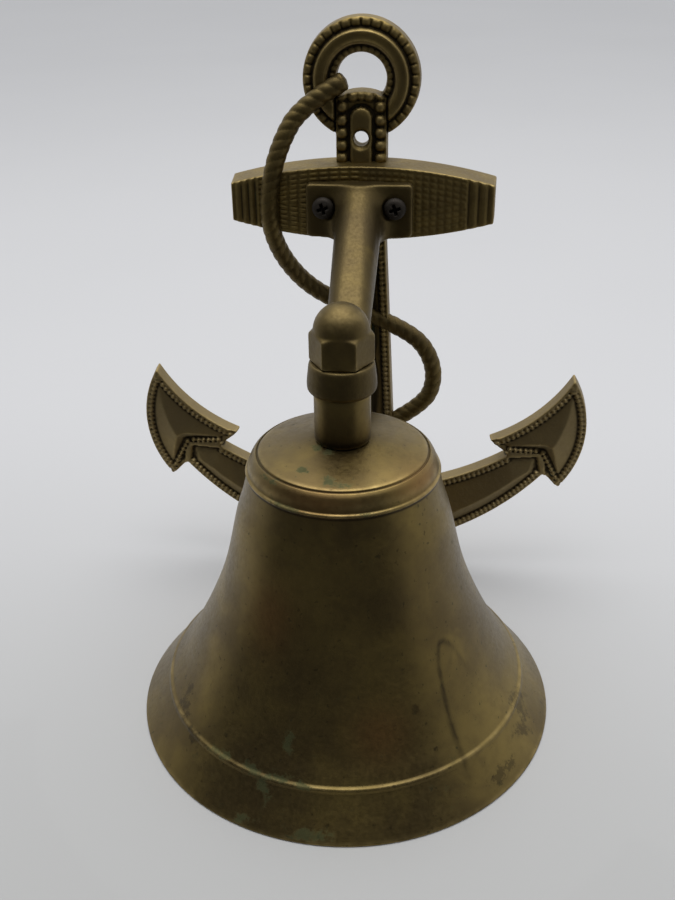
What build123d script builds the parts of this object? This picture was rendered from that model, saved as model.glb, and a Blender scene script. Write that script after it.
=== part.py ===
"""Wall bell on an anchor bracket: bell, clapper and anchor-shaped wall plate.

Millimetres, +Z up. The bell's mouth is the plane z = 0, the anchor faces -Y, its back is the
wall plane, and the origin is the middle of the whole object's footprint.
"""

import os

from build123d import *

os.makedirs("parts", exist_ok=True)

# Driving dimensions
mouth_radius = 75.0
wall_offset = 88.0  # bell axis to the wall
bell_y = (mouth_radius - wall_offset) / 2
wall_y = bell_y + wall_offset
play = 0.05  # radial clearance of every loose fit
end_play = 0.1  # gap between the faces that turn on each other

# Bell
crown_z = 107.2
crown_edge_radius, crown_edge_z = 28.4, 103.8
shoulder_radius, shoulder_z = 32.2, 96.9
skirt_radius, skirt_z = 64.4, 13.8
bead_height = 0.6
wall_thickness = 3.2
lip_thickness = 4.4
crown_inside_z, crown_flat_radius = 103.0, 15.0

# Hanger: a stud through the bracket's eye and the bell's crown
stud_radius = 6.0
stud_bottom_z, stud_top_z = 89.8, 150.0
hex_across_flats = 18.4
nut_bottom_z, nut_shoulder_z = 135.4, 145.5
collar_bottom_z, collar_lip_z, collar_wide_z = 124.9, 126.4, 129.0
collar_top_z = nut_bottom_z - end_play
collar_top_radius, collar_radius, collar_lip_radius = 10.6, 11.35, 10.2
sleeve_radius = 9.3
washer_radius, washer_thickness = 14.0, 2.0
crown_nut_height = 8.0

# Clapper chain: eye of the stud, link, eye of the clapper
eye_radius, eye_wire, eye_z = 6.5, 2.2, 82.5
link_radius, link_wire = 7.2, 1.6
clapper_eye_radius = 6.0
wire_gap = eye_wire + link_wire + play
swing_z = eye_z - eye_radius  # the link swings about the stud eye's lower wire
link_z = swing_z + wire_gap - link_radius
sway_z = link_z - link_radius  # the clapper sways about the link's lower wire
clapper_eye_z = sway_z + wire_gap - clapper_eye_radius
rod_radius, rod_tip_radius, rod_tip_length = 3.0, 2.0, 2.0
ball_radius, ball_z, ball_flat = 12.0, 24.5, 11.6
lanyard_z, lanyard_radius, lanyard_hole_radius, lanyard_depth = 8.4, 4.2, 2.1, 7.0
lanyard_neck_radius = 3.4

# Anchor plate: depths are measured out from the wall
web_depth = 7.5
head_depth = 8.5
stock_depth = 13.0
ring_z, ring_radius, ring_hole_radius, ring_depth = 207.3, 21.3, 8.8, 6.5
ring_band_radius, ring_band_wire = 14.6, 3.6
head_half_width, head_bottom_z, head_top_z, head_corner = 9.6, 170.0, 203.9, 4.0
shank_top_z, shank_top_half, shank_foot_half = 172.0, 8.5, 14.2
stock_x, stock_z, stock_half_length = 0.6, 164.9, 49.6
stock_mid_half, stock_end_half = 13.8, 6.9  # half heights at the middle and at the ends
wall_hole_radius, wall_hole_heights = 2.7, (28.0, 187.0)
rope_radius, rope_bend = 3.4, 12.0

# Bracket arm
plate_width, plate_height, plate_thickness = 39.0, 19.8, 5.0
plate_z, arm_root_z = 163.5, 161.0
plate_front = stock_depth + plate_thickness  # out from the wall
arm_root_width, arm_root_height = 18.0, 17.6
arm_end_width, arm_end_height, arm_end_offset = 14.0, 9.6, 11.4
root_flare = 4.0

# Bracket screws
screw_spacing, screw_z = 26.2, 164.7
screw_radius, screw_hole_radius, screw_length = 2.0, 2.25, 14.0
screw_head_radius, screw_head_height = 4.0, 2.8
cross_length, cross_width, cross_depth = 4.4, 1.0, 1.7

bell_axis = Axis((0, bell_y, 0), (0, 0, 1))
bell_section = Plane(origin=(0, bell_y, 0), x_dir=(1, 0, 0), z_dir=(0, -1, 0))


def front_plane(depth):
    """The plane parallel to the wall that far out from it, +X to its right and +Z up."""
    return Plane(origin=(0, wall_y - depth, 0), x_dir=(1, 0, 0), z_dir=(0, -1, 0))


def level(height):
    """A horizontal plane centred on the bell's axis."""
    return Plane.XY.offset(height).move(Location((0, bell_y, 0)))


def save(piece, name):
    """Labels a finished piece and writes its STEP file."""
    piece.part.label = name
    export_step(piece.part, f"parts/{name}.step")


# Anchor plate: ring, head, stock, shank, arms, flukes and rope, cast in one piece
with BuildPart() as anchor_plate:
    with BuildSketch(front_plane(0)):
        with Locations((0, ring_z)):
            Circle(ring_radius)
    extrude(amount=ring_depth)
    fillet(anchor_plate.edges().sort_by(Axis.Y)[0], radius=2.5)
    with Locations((0, wall_y - ring_depth, ring_z)):
        Torus(ring_band_radius, ring_band_wire, rotation=(90, 0, 0))
    with BuildSketch(front_plane(-1)):
        with Locations((0, ring_z)):
            Circle(ring_hole_radius)
    extrude(amount=ring_depth + ring_band_wire + 2, mode=Mode.SUBTRACT)

    # Head of the shank
    with BuildSketch(front_plane(0)) as head:
        with Locations((0, (head_bottom_z + head_top_z) / 2)):
            Rectangle(2 * head_half_width, head_top_z - head_bottom_z)
        fillet(head.vertices().group_by(Axis.Y)[-1], radius=head_corner)
    extrude(amount=head_depth)

    # Shank, crown, arms and flukes
    with BuildSketch(front_plane(0)):
        with BuildLine():
            ThreePointArc((0, 9), (42, 21.8), (75.6, 49))
            Line((75.6, 49), (82.4, 43))
            ThreePointArc((82.4, 43), (92, 68), (86.2, 93))
            ThreePointArc((86.2, 93), (71.5, 75.2), (53.3, 65))
            Line((53.3, 65), (60, 58))
            ThreePointArc((60, 58), (36, 46.3), (shank_foot_half, 41))
            Line((shank_foot_half, 41), (shank_top_half, shank_top_z))
            Line((shank_top_half, shank_top_z), (0, shank_top_z))
            mirror(about=Plane.YZ)
        make_face()
    extrude(amount=web_depth)

    # Stock
    with BuildSketch(front_plane(0)):
        with BuildLine():
            left, right = stock_x - stock_half_length, stock_x + stock_half_length
            top, bottom = stock_z + stock_end_half, stock_z - stock_end_half
            ThreePointArc((left, top), (stock_x, stock_z + stock_mid_half), (right, top))
            Line((right, top), (right, bottom))
            ThreePointArc((right, bottom), (stock_x, stock_z - stock_mid_half), (left, bottom))
            Line((left, bottom), (left, top))
        make_face()
    extrude(amount=stock_depth)

    # Rope: through the ring, over the stock, behind the shank and back to it
    with BuildLine() as rope_line:
        rope_points = [
            (-5.0, 8.0, 207.8),
            (-21.2, 9.0, 199.1),
            (-29.0, 13.0, 186.0),
            (-33.2, 14.5, 171.0),
            (-34.0, 13.5, 157.0),
            (-30.2, 8.5, 142.5),
            (-20.5, 4.2, 129.3),
            (-5.0, 4.0, 121.5),
            (12.5, 4.0, 114.5),
            (25.0, 4.0, 106.5),
            (30.0, 4.0, 92.0),
            (25.0, 4.0, 78.5),
            (8.0, 4.0, 69.0),
        ]
        FilletPolyline([(x, wall_y - depth, z) for x, depth, z in rope_points], radius=rope_bend)
    with BuildSketch(Plane(rope_line.line @ 0, z_dir=rope_line.line % 0)):
        Circle(rope_radius)
    sweep(path=rope_line.line)

    # Wall screw holes in the head and the crown, and the tapped holes for the bracket
    with BuildSketch(front_plane(stock_depth + 1)):
        with Locations(*[(0, height) for height in wall_hole_heights]):
            Circle(wall_hole_radius)
    extrude(amount=-stock_depth - 2, mode=Mode.SUBTRACT)
    with BuildSketch(front_plane(stock_depth)):
        with Locations((-screw_spacing / 2, screw_z), (screw_spacing / 2, screw_z)):
            Circle(screw_radius + play)
    extrude(amount=-(screw_length - plate_thickness + 1), mode=Mode.SUBTRACT)
save(anchor_plate, "anchor_plate")


# Bracket arm: screw plate, sloping arm and the eye that carries the stud
with BuildPart() as bracket_arm:
    with BuildSketch(front_plane(stock_depth)):
        with Locations((0, plate_z)):
            RectangleRounded(plate_width, plate_height, 2.5)
    extrude(amount=plate_thickness)
    fillet(bracket_arm.edges().group_by(Axis.Y)[0], radius=0.8)
    with BuildSketch(front_plane(plate_front - 0.5)):
        with Locations((0, arm_root_z + 0.6 * root_flare)):
            RectangleRounded(arm_root_width + 2 * root_flare, arm_root_height, 3)
    with BuildSketch(front_plane(plate_front + root_flare)):
        with Locations((0, arm_root_z)):
            RectangleRounded(arm_root_width, arm_root_height, 5)
    loft()
    collar_z = (collar_bottom_z + collar_top_z) / 2
    with BuildSketch(front_plane(plate_front + root_flare)):
        with Locations((0, arm_root_z)):
            RectangleRounded(arm_root_width, arm_root_height, 5)
    with BuildSketch(front_plane(wall_offset - arm_end_offset)):
        with Locations((0, collar_z)):
            RectangleRounded(arm_end_width, arm_end_height, 4)
    loft()
    extrude(bracket_arm.faces().sort_by(Axis.Y)[0], amount=arm_end_offset - stud_radius - 1)
    with BuildSketch(bell_section):
        with BuildLine():
            Polyline(
                (0, collar_bottom_z),
                (collar_lip_radius, collar_bottom_z),
                (collar_radius, collar_lip_z),
                (collar_radius, collar_wide_z),
                (collar_top_radius, collar_top_z),
                (0, collar_top_z),
                close=True,
            )
        make_face()
    revolve(axis=bell_axis)
    with BuildSketch(level(collar_bottom_z - 2)):
        Circle(stud_radius + play)
    extrude(amount=collar_top_z - collar_bottom_z + 4, mode=Mode.SUBTRACT)
    with BuildSketch(front_plane(stock_depth)):
        with Locations((-screw_spacing / 2, screw_z), (screw_spacing / 2, screw_z)):
            Circle(screw_hole_radius)
    extrude(amount=plate_thickness + root_flare, mode=Mode.SUBTRACT)
    with BuildSketch(front_plane(plate_front)):
        with Locations((-screw_spacing / 2, screw_z), (screw_spacing / 2, screw_z)):
            Circle(screw_head_radius + 0.3)
    extrude(amount=root_flare, mode=Mode.SUBTRACT)
save(bracket_arm, "bracket_arm")


# Cross-head screws that hold the bracket to the stock
for side, x in (("left", -screw_spacing / 2), ("right", screw_spacing / 2)):
    with BuildPart() as bracket_screw:
        with BuildSketch(front_plane(plate_front)):
            with Locations((x, screw_z)):
                Circle(screw_head_radius)
        extrude(amount=screw_head_height)
        fillet(bracket_screw.edges().sort_by(Axis.Y)[0], radius=1.6)
        with BuildSketch(front_plane(plate_front)):
            with Locations((x, screw_z)):
                Circle(screw_radius)
        extrude(amount=-screw_length)
        with BuildSketch(front_plane(plate_front + screw_head_height)):
            with Locations((x, screw_z)):
                Rectangle(cross_length, cross_width)
                Rectangle(cross_width, cross_length)
        extrude(amount=-cross_depth, mode=Mode.SUBTRACT)
    save(bracket_screw, f"bracket_screw_{side}")


# Bell: a cast shell with a grooved crown, a shoulder bead and a skirt line
with BuildPart() as bell_shell:
    with BuildSketch(bell_section):
        with BuildLine():
            hole = stud_radius + play
            edge, edge_z = crown_edge_radius, crown_edge_z
            Line((hole, crown_z), (sleeve_radius + 1, crown_z))
            Line((sleeve_radius + 1, crown_z), (edge, edge_z))
            Polyline((edge, edge_z), (edge, edge_z - 0.6), (edge + 0.7, edge_z - 0.6))
            Spline(
                (edge + 0.7, edge_z - 0.6),
                (shoulder_radius - 0.6, shoulder_z + 2.6),
                (shoulder_radius, shoulder_z + 0.5),
                tangents=[(1, -0.1), (0.1, -1)],
            )
            ThreePointArc(
                (shoulder_radius, shoulder_z + 0.5),
                (shoulder_radius + bead_height, shoulder_z),
                (shoulder_radius + 0.1, shoulder_z - 0.6),
            )
            Spline(
                (shoulder_radius + 0.1, shoulder_z - 0.6),
                (36.8, 80),
                (41.9, 59),
                (48.6, 41.5),
                (skirt_radius - 0.6, skirt_z + 0.8),
                tangents=[(0.2, -1), (0.78, -1)],
            )
            Polyline(
                (skirt_radius - 0.6, skirt_z + 0.8),
                (skirt_radius + bead_height, skirt_z + 0.3),
                (skirt_radius + 0.9, skirt_z - 0.8),
            )
            Spline(
                (skirt_radius + 0.9, skirt_z - 0.8),
                (mouth_radius - 0.4, 0.9),
                tangents=[(0.8, -1), (0.75, -1)],
            )
            ThreePointArc((mouth_radius - 0.4, 0.9), (mouth_radius, 0.35), (mouth_radius - 0.6, 0))
            Line((mouth_radius - 0.6, 0), (mouth_radius - lip_thickness, 0))
            Spline(
                (mouth_radius - lip_thickness, 0),
                (skirt_radius - lip_thickness + 0.6, skirt_z - 1.5),
                (48.6 - wall_thickness - 0.4, 41.5 - 1.5),
                (41.9 - wall_thickness, 59),
                (36.8 - wall_thickness, 80),
                (shoulder_radius - wall_thickness - 0.2, shoulder_z - 1.0),
                tangents=[(-0.75, 1), (-0.15, 1)],
            )
            Polyline(
                (shoulder_radius - wall_thickness - 0.2, shoulder_z - 1.0),
                (shoulder_radius - wall_thickness - 3.0, crown_edge_z - wall_thickness - 0.6),
                (crown_flat_radius, crown_inside_z),
                (hole, crown_inside_z),
                (hole, crown_z),
            )
        make_face()
    revolve(axis=bell_axis)
save(bell_shell, "bell_shell")


# Spacer sleeve between the bell's crown and the bracket's eye
with BuildPart() as spacer_sleeve:
    with BuildSketch(level(crown_z)):
        Circle(sleeve_radius)
    extrude(amount=collar_bottom_z - end_play - crown_z)
    fillet(spacer_sleeve.edges().sort_by(Axis.Z)[0], radius=1.0)
    with BuildSketch(level(crown_z)):
        Circle(stud_radius + play)
    extrude(amount=collar_bottom_z - end_play - crown_z, mode=Mode.SUBTRACT)
save(spacer_sleeve, "spacer_sleeve")


# Hanger stud: a threaded shank with an eye at its lower end
with BuildPart() as hanger_stud:
    with BuildSketch(level(stud_bottom_z)):
        Circle(stud_radius)
    extrude(amount=stud_top_z - stud_bottom_z)
    chamfer(hanger_stud.edges().filter_by(GeomType.CIRCLE), length=0.8)
    with Locations((0, bell_y, eye_z)):
        Torus(eye_radius, eye_wire, rotation=(90, 0, 0))
save(hanger_stud, "hanger_stud")


# Domed cap nut on top of the stud
with BuildPart() as cap_nut:
    flat, corner = hex_across_flats / 2, hex_across_flats / 3**0.5
    with BuildSketch(bell_section):
        with BuildLine():
            Polyline(
                (0, nut_shoulder_z + flat),
                (0, nut_bottom_z),
                (corner - 0.6, nut_bottom_z),
                (corner, nut_bottom_z + 0.4),
                (corner, nut_shoulder_z - 1.2),
                (flat, nut_shoulder_z + 0.2),
                (flat, nut_shoulder_z),
            )
            RadiusArc((flat, nut_shoulder_z), (0, nut_shoulder_z + flat), -flat)
        make_face()
    revolve(axis=bell_axis)
    with BuildSketch(level(nut_bottom_z)):
        RegularPolygon(flat, 6, major_radius=False, rotation=30)
    extrude(amount=2 * hex_across_flats, mode=Mode.INTERSECT)
    with BuildSketch(level(nut_bottom_z)):
        Circle(stud_radius + play)
    extrude(amount=stud_top_z - nut_bottom_z + 0.6, mode=Mode.SUBTRACT)
save(cap_nut, "cap_nut")


# Washer and nut that clamp the crown from inside the bell
with BuildPart() as crown_washer:
    with BuildSketch(level(crown_inside_z - washer_thickness)):
        Circle(washer_radius)
        Circle(stud_radius + play, mode=Mode.SUBTRACT)
    extrude(amount=washer_thickness)
    chamfer(crown_washer.edges().group_by(Axis.Z)[0].sort_by(SortBy.RADIUS)[-1], length=0.4)
save(crown_washer, "crown_washer")

with BuildPart() as crown_nut:
    crown_nut_z = crown_inside_z - washer_thickness - crown_nut_height
    with BuildSketch(level(crown_nut_z)):
        Circle(hex_across_flats / 3**0.5)
    extrude(amount=crown_nut_height)
    chamfer(crown_nut.edges().filter_by(GeomType.CIRCLE), length=0.6, length2=1.1)
    with BuildSketch(level(crown_nut_z)):
        RegularPolygon(hex_across_flats / 2, 6, major_radius=False, rotation=30)
    extrude(amount=crown_nut_height, mode=Mode.INTERSECT)
    with BuildSketch(level(crown_nut_z)):
        Circle(stud_radius + play)
    extrude(amount=crown_nut_height, mode=Mode.SUBTRACT)
save(crown_nut, "crown_nut")


# Clapper: a round link, a rod with an eye, the ball and the lanyard eye
with BuildPart() as clapper_link:
    with Locations((0, bell_y, link_z)):
        Torus(link_radius, link_wire, rotation=(0, 90, 0))
save(clapper_link, "clapper_link")

with BuildPart() as clapper_rod:
    rod_bottom_z = ball_z - ball_flat
    with BuildSketch(level(rod_bottom_z)):
        Circle(rod_radius)
    extrude(amount=clapper_eye_z - clapper_eye_radius - rod_bottom_z)
    with Locations((0, bell_y, clapper_eye_z)):
        Torus(clapper_eye_radius, eye_wire, rotation=(90, 0, 0))
    with BuildSketch(level(rod_bottom_z)):
        Circle(rod_tip_radius)
    extrude(amount=-rod_tip_length)
save(clapper_rod, "clapper_rod")

with BuildPart() as clapper_ball:
    with Locations((0, bell_y, ball_z)):
        Sphere(ball_radius)
    with BuildSketch(level(ball_z - ball_flat)):
        Circle(ball_radius)
    extrude(amount=2 * ball_flat, mode=Mode.INTERSECT)
    with BuildSketch(level(ball_z - ball_flat)):
        Circle(rod_radius + play)
    extrude(amount=2 * ball_flat, mode=Mode.SUBTRACT)
save(clapper_ball, "clapper_ball")

with BuildPart() as lanyard_eye:
    with BuildSketch(level(lanyard_z)):
        Circle(lanyard_neck_radius)
    extrude(amount=rod_bottom_z - lanyard_z)
    with BuildSketch(bell_section):
        with Locations((0, lanyard_z)):
            Circle(lanyard_radius)
    extrude(amount=lanyard_depth / 2, both=True)
    with BuildSketch(bell_section):
        with Locations((0, lanyard_z)):
            Circle(lanyard_hole_radius)
    extrude(amount=lanyard_depth, both=True, mode=Mode.SUBTRACT)
    with BuildSketch(level(rod_bottom_z)):
        Circle(rod_tip_radius + play)
    extrude(amount=-rod_tip_length - play, mode=Mode.SUBTRACT)
save(lanyard_eye, "lanyard_eye")
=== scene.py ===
"""Ship bell on an anchor bracket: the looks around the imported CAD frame.

Shapes are worked out in millimetres, as distance fields or turned profiles, and become meshes in
metres. A casting's field uses x across, z up and depth out from the wall.
"""

import math

import bpy
import numpy as np
from mathutils import Matrix, Vector


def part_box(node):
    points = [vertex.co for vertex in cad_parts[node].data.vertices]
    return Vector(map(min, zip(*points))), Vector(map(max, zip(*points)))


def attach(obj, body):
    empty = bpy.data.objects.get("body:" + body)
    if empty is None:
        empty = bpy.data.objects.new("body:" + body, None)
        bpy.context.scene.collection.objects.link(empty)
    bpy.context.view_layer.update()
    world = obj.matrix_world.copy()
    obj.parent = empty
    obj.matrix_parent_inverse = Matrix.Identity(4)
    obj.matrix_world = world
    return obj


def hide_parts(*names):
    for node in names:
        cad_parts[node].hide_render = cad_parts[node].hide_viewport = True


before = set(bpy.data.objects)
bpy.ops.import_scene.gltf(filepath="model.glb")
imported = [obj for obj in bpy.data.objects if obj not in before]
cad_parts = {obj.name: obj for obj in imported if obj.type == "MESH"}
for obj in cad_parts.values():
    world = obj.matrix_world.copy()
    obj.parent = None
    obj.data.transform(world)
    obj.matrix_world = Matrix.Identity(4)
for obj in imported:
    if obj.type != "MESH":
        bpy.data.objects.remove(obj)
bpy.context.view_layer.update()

MM = 0.001
bell_low, bell_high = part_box("bell_shell")
BELL_Y = (bell_low.y + bell_high.y) / 2 / MM  # the bell's axis
WALL_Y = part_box("anchor_plate")[1].y / MM  # the wall plane
NUT_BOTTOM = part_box("cap_nut")[0].z / MM
SLEEVE_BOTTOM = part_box("spacer_sleeve")[0].z / MM
SLEEVE_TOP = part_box("spacer_sleeve")[1].z / MM
COARSE = 1.0  # how much larger the grid steps are while trying things


# ---- meshes from fields and profiles

CORNERS = np.array([(a, b, c) for c in (0, 1) for b in (0, 1) for a in (0, 1)])
CELL_EDGES = [(i, j) for i in range(8) for j in range(i) if abs(CORNERS[i] - CORNERS[j]).sum() == 1]


def smooth_max(a, b, k):
    """The larger of two fields, rounded over a width k where they are nearly equal."""
    h = np.maximum(k - np.abs(a - b), 0) / k
    return np.maximum(a, b) + h * h * k / 4


def smooth_min(a, b, k):
    """The smaller of two fields, filleted over a width k."""
    return -smooth_max(-a, -b, k)


def soften(field):
    """Averages each sample with its neighbours, which rounds every edge by about a step."""
    for axis in range(3):
        field = np.moveaxis(field, axis, 0).copy()
        field[1:-1] = field[1:-1] / 2 + (field[:-2] + field[2:]) / 4
        field = np.moveaxis(field, 0, axis)
    return field


def box_blur(field, reach):
    """The mean of the samples within so many steps along each axis, twice over."""
    for axis in (0, 1, 2, 0, 1, 2):
        line = np.moveaxis(field, axis, 0)
        padded = np.concatenate([line[:1].repeat(reach + 1, 0), line, line[-1:].repeat(reach, 0)])
        sums = np.cumsum(padded, 0, dtype=np.float64)
        line = (sums[2 * reach + 1 :] - sums[: -2 * reach - 1]) / (2 * reach + 1)
        field = np.moveaxis(line.astype(np.float32), 0, axis)
    return field


def sample(field, places):
    """Values of a field at places given in grid steps, by linear interpolation."""
    top = np.array(field.shape) - 2
    low = np.clip(np.floor(places).astype(int), 0, top)
    t = np.clip(places - low, 0, 1)
    total = np.zeros(len(places))
    for corner in CORNERS:
        weight = np.prod(np.where(corner, t, 1 - t), 1)
        at = low + corner
        total += weight * field[at[:, 0], at[:, 1], at[:, 2]]
    return total


def surface_net(field):
    """Points, in grid steps, and quads of the surface where a field is zero. Inside is negative."""
    inside = field < 0
    size = np.array(field.shape) - 1
    total = np.zeros(size, np.int8)
    for a, b, c in CORNERS:
        total += inside[a : size[0] + a, b : size[1] + b, c : size[2] + c]
    active = (total > 0) & (total < 8)
    cells = np.argwhere(active)
    index = np.full(active.shape, -1, np.int32)
    index[active] = np.arange(len(cells))
    values = np.stack([field[tuple((cells + corner).T)] for corner in CORNERS], 1)
    place, count = np.zeros((len(cells), 3)), np.zeros((len(cells), 1))
    for i, j in CELL_EDGES:
        a, b = values[:, i], values[:, j]
        cut = (a < 0) != (b < 0)
        t = np.where(cut, a / np.where(cut, a - b, 1), 0)[:, None]
        place += np.where(cut[:, None], CORNERS[i] + t * (CORNERS[j] - CORNERS[i]), 0)
        count += cut[:, None]
    quads = []
    for axis in range(3):
        one, two = (axis + 1) % 3, (axis + 2) % 3
        line = np.moveaxis(inside, axis, 0)
        edges = np.argwhere(np.moveaxis(line[:-1] != line[1:], 0, axis))
        edges = edges[(edges[:, one] > 0) & (edges[:, two] > 0)]
        edges = edges[(edges[:, one] < size[one]) & (edges[:, two] < size[two])]
        ring = []
        for back_one, back_two in ((0, 0), (1, 0), (1, 1), (0, 1)):
            cell = edges.copy()
            cell[:, one] -= back_one
            cell[:, two] -= back_two
            ring.append(index[tuple(cell.T)])
        ring = np.stack(ring, 1)
        outward = inside[tuple(edges.T)]
        quads.append(np.where(outward[:, None], ring, ring[:, ::-1]))
    return cells + place / count, np.concatenate(quads)


def placed(name, data):
    """A new object in the scene."""
    made = bpy.data.objects.new(name, data)
    bpy.context.scene.collection.objects.link(made)
    return made


def new_piece(name, points, faces, body, slot, material, stands_for=(), **attributes):
    """A smooth mesh from points in millimetres that rides on a body."""
    mesh = bpy.data.meshes.new(name)
    mesh.vertices.add(len(points))
    mesh.vertices.foreach_set("co", (np.asarray(points) * MM).astype(np.float32).ravel())
    mesh.loops.add(faces.size)
    mesh.loops.foreach_set("vertex_index", faces.astype(np.int32).ravel())
    mesh.polygons.add(len(faces))
    mesh.polygons.foreach_set("loop_start", np.arange(0, faces.size, faces.shape[1], dtype=np.int32))
    mesh.polygons.foreach_set("use_smooth", np.ones(len(faces), bool))
    mesh.update(calc_edges=True)
    mesh.validate()
    for key, values in attributes.items():
        layer = mesh.attributes.new(key, "FLOAT", "POINT")
        layer.data.foreach_set("value", np.asarray(values, np.float32))
    piece = placed(name, mesh)
    mesh.materials.append(material)
    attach(piece, body)
    if stands_for:
        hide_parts(*stands_for)
    return piece


def thinned(points, quads, ratio):
    """The same surface with fewer triangles, taken mostly from flat places."""
    mesh = bpy.data.meshes.new("thinning")
    mesh.from_pydata(points.tolist(), [], quads.tolist())
    holder = placed("thinning", mesh)
    holder.modifiers.new("thin", "DECIMATE").ratio = ratio
    holder.modifiers.new("split", "TRIANGULATE")
    result = holder.evaluated_get(bpy.context.evaluated_depsgraph_get()).to_mesh()
    found = np.zeros(len(result.vertices) * 3)
    result.vertices.foreach_get("co", found)
    corners = np.zeros(len(result.loops), np.int32)
    result.loops.foreach_get("vertex_index", corners)
    bpy.data.objects.remove(holder)
    bpy.data.meshes.remove(mesh)
    return found.reshape(-1, 3), corners.reshape(-1, 3)


HOLLOW_REACH = 3.0  # how far the patina looks round a place to see whether it lies in a hollow


def casting(name, field, origin, step, to_frame, body, slot, material, stands_for, keep=1.0, reach=1.1):
    """A piece from a distance field, with its edges and hollows marked for the patina.

    Keep is the share of its faces that stays, and reach is how wide its worn edges are.
    """
    field = soften(np.clip(field, -4, 4).astype(np.float32))
    places, faces = surface_net(field)
    if keep < 1:
        places, faces = thinned(places, faces, keep)
    fine = max(1, round(reach / step))
    broad = max(2, round(HOLLOW_REACH / step))
    edge = sample(box_blur(np.clip(field, -2, 2), fine), places) * 1.1 / (fine * step)
    hollow = sample(box_blur(field, broad), places)
    points = to_frame(places * step + np.array(origin))
    return new_piece(name, points, faces, body, slot, material, stands_for, edge=edge, hollow=hollow)


def from_wall(points):
    """Points given as x, z and depth out from the wall, in the shared frame."""
    return np.stack([points[:, 0], WALL_Y - points[:, 2], points[:, 1]], 1)


def about_axis(points):
    """Points given around the bell's axis, in the shared frame."""
    return points + np.array([0, BELL_Y, 0])


def turned(name, profile, count, body, slot, material, stands_for, wave=None, **attributes):
    """A closed profile of (radius, z) points turned about the bell's axis."""
    profile = np.array(profile)
    angle = np.linspace(0, 2 * math.pi, count, endpoint=False)
    radius = profile[:, 0][:, None] * np.ones(count)
    height = profile[:, 1][:, None] * np.ones(count)
    if wave is not None:
        radius = radius + wave(angle[None, :], height)
    points = np.stack([radius * np.sin(angle), BELL_Y - radius * np.cos(angle), height], 2)
    rows, columns = np.arange(len(profile)), np.arange(count)
    next_row, next_column = np.roll(rows, -1), np.roll(columns, -1)
    here, there = rows[:, None] * count, next_row[:, None] * count
    ring = [here + columns, here + next_column, there + next_column, there + columns]
    faces = np.stack(ring, 2).reshape(-1, 4)
    made = {key: make(angle[None, :], height, radius).ravel() for key, make in attributes.items()}
    return new_piece(name, points.reshape(-1, 3), faces, body, slot, material, stands_for, **made)


# ---- plane outlines


def arc(start, middle, end, count=26):
    """Points along the circle through three points."""
    a, b, c = (np.array(p, float) for p in (start, middle, end))
    centre = np.linalg.solve(2 * np.array([b - a, c - a]), [b @ b - a @ a, c @ c - a @ a])
    spokes = [p - centre for p in (a, b, c)]
    turns = np.unwrap([math.atan2(s[1], s[0]) for s in spokes])
    angles = np.linspace(turns[0], turns[2], count)
    radius = np.linalg.norm(spokes[0])
    return [(centre[0] + radius * math.cos(t), centre[1] + radius * math.sin(t)) for t in angles]


def distance(chain, u, v):
    """Distance from each grid point to a chain of straight runs."""
    best = np.full(np.broadcast(u, v).shape, 1e9)
    for (ax, ay), (bx, by) in zip(chain, chain[1:]):
        dx, dy = bx - ax, by - ay
        t = np.clip(((u - ax) * dx + (v - ay) * dy) / (dx * dx + dy * dy + 1e-12), 0, 1)
        best = np.minimum(best, (u - ax - t * dx) ** 2 + (v - ay - t * dy) ** 2)
    return np.sqrt(best)


def within(chain, u, v):
    """Whether each grid point is inside a closed outline."""
    odd = np.zeros(np.broadcast(u, v).shape, bool)
    for (ax, ay), (bx, by) in zip(chain, chain[1:] + chain[:1]):
        if ay != by:
            odd ^= ((ay > v) != (by > v)) & (u < (bx - ax) * (v - ay) / (by - ay) + ax)
    return odd


def rounded_box(a, b, half_a, half_b, corner):
    """Signed distance to a rectangle with round corners."""
    p, q = np.abs(a) - half_a + corner, np.abs(b) - half_b + corner
    return np.hypot(np.maximum(p, 0), np.maximum(q, 0)) + np.minimum(np.maximum(p, q), 0) - corner


def spaced(chain, pitch, inset):
    """Places at equal steps along a chain, moved to the left of its direction."""
    chain = np.array(chain)
    along = np.concatenate([[0], np.cumsum(np.linalg.norm(np.diff(chain, axis=0), axis=1))])
    count = max(2, round(along[-1] / pitch))
    at = (np.arange(count) + 0.5) * along[-1] / count
    place = np.stack([np.interp(at, along, chain[:, i]) for i in (0, 1)], 1)
    ahead = np.stack([np.interp(at + 0.3, along, chain[:, i]) for i in (0, 1)], 1)
    behind = np.stack([np.interp(at - 0.3, along, chain[:, i]) for i in (0, 1)], 1)
    way = (ahead - behind) / np.linalg.norm(ahead - behind, axis=1)[:, None]
    return place + inset * np.stack([-way[:, 1], way[:, 0]], 1)


def add_beads(height, u, v, places, radius, base, rise):
    """Raises a round bead at each place of a height map."""
    for x, z in places:
        i, j = np.abs(u[:, 0] - x) < radius, np.abs(v[0] - z) < radius
        if i.any() and j.any():
            dome = 1 - ((u[i] - x) ** 2 + (v[:, j] - z) ** 2) / radius**2
            patch = height[np.ix_(i, j)]
            height[np.ix_(i, j)] = np.where(
                dome > 0, np.maximum(patch, base + rise * np.sqrt(np.maximum(dome, 0))), patch
            )


# ---- materials


def node(tree, kind, inputs=None, **settings):
    """A shader node with its settings and inputs, each input a value or another node's socket."""
    made = tree.nodes.new(kind)
    for key, value in settings.items():
        setattr(made, key, value)
    for key, value in (inputs or {}).items():
        if isinstance(value, bpy.types.NodeSocket):
            tree.links.new(value, made.inputs[key])
        else:
            made.inputs[key].default_value = value
    return made


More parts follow.
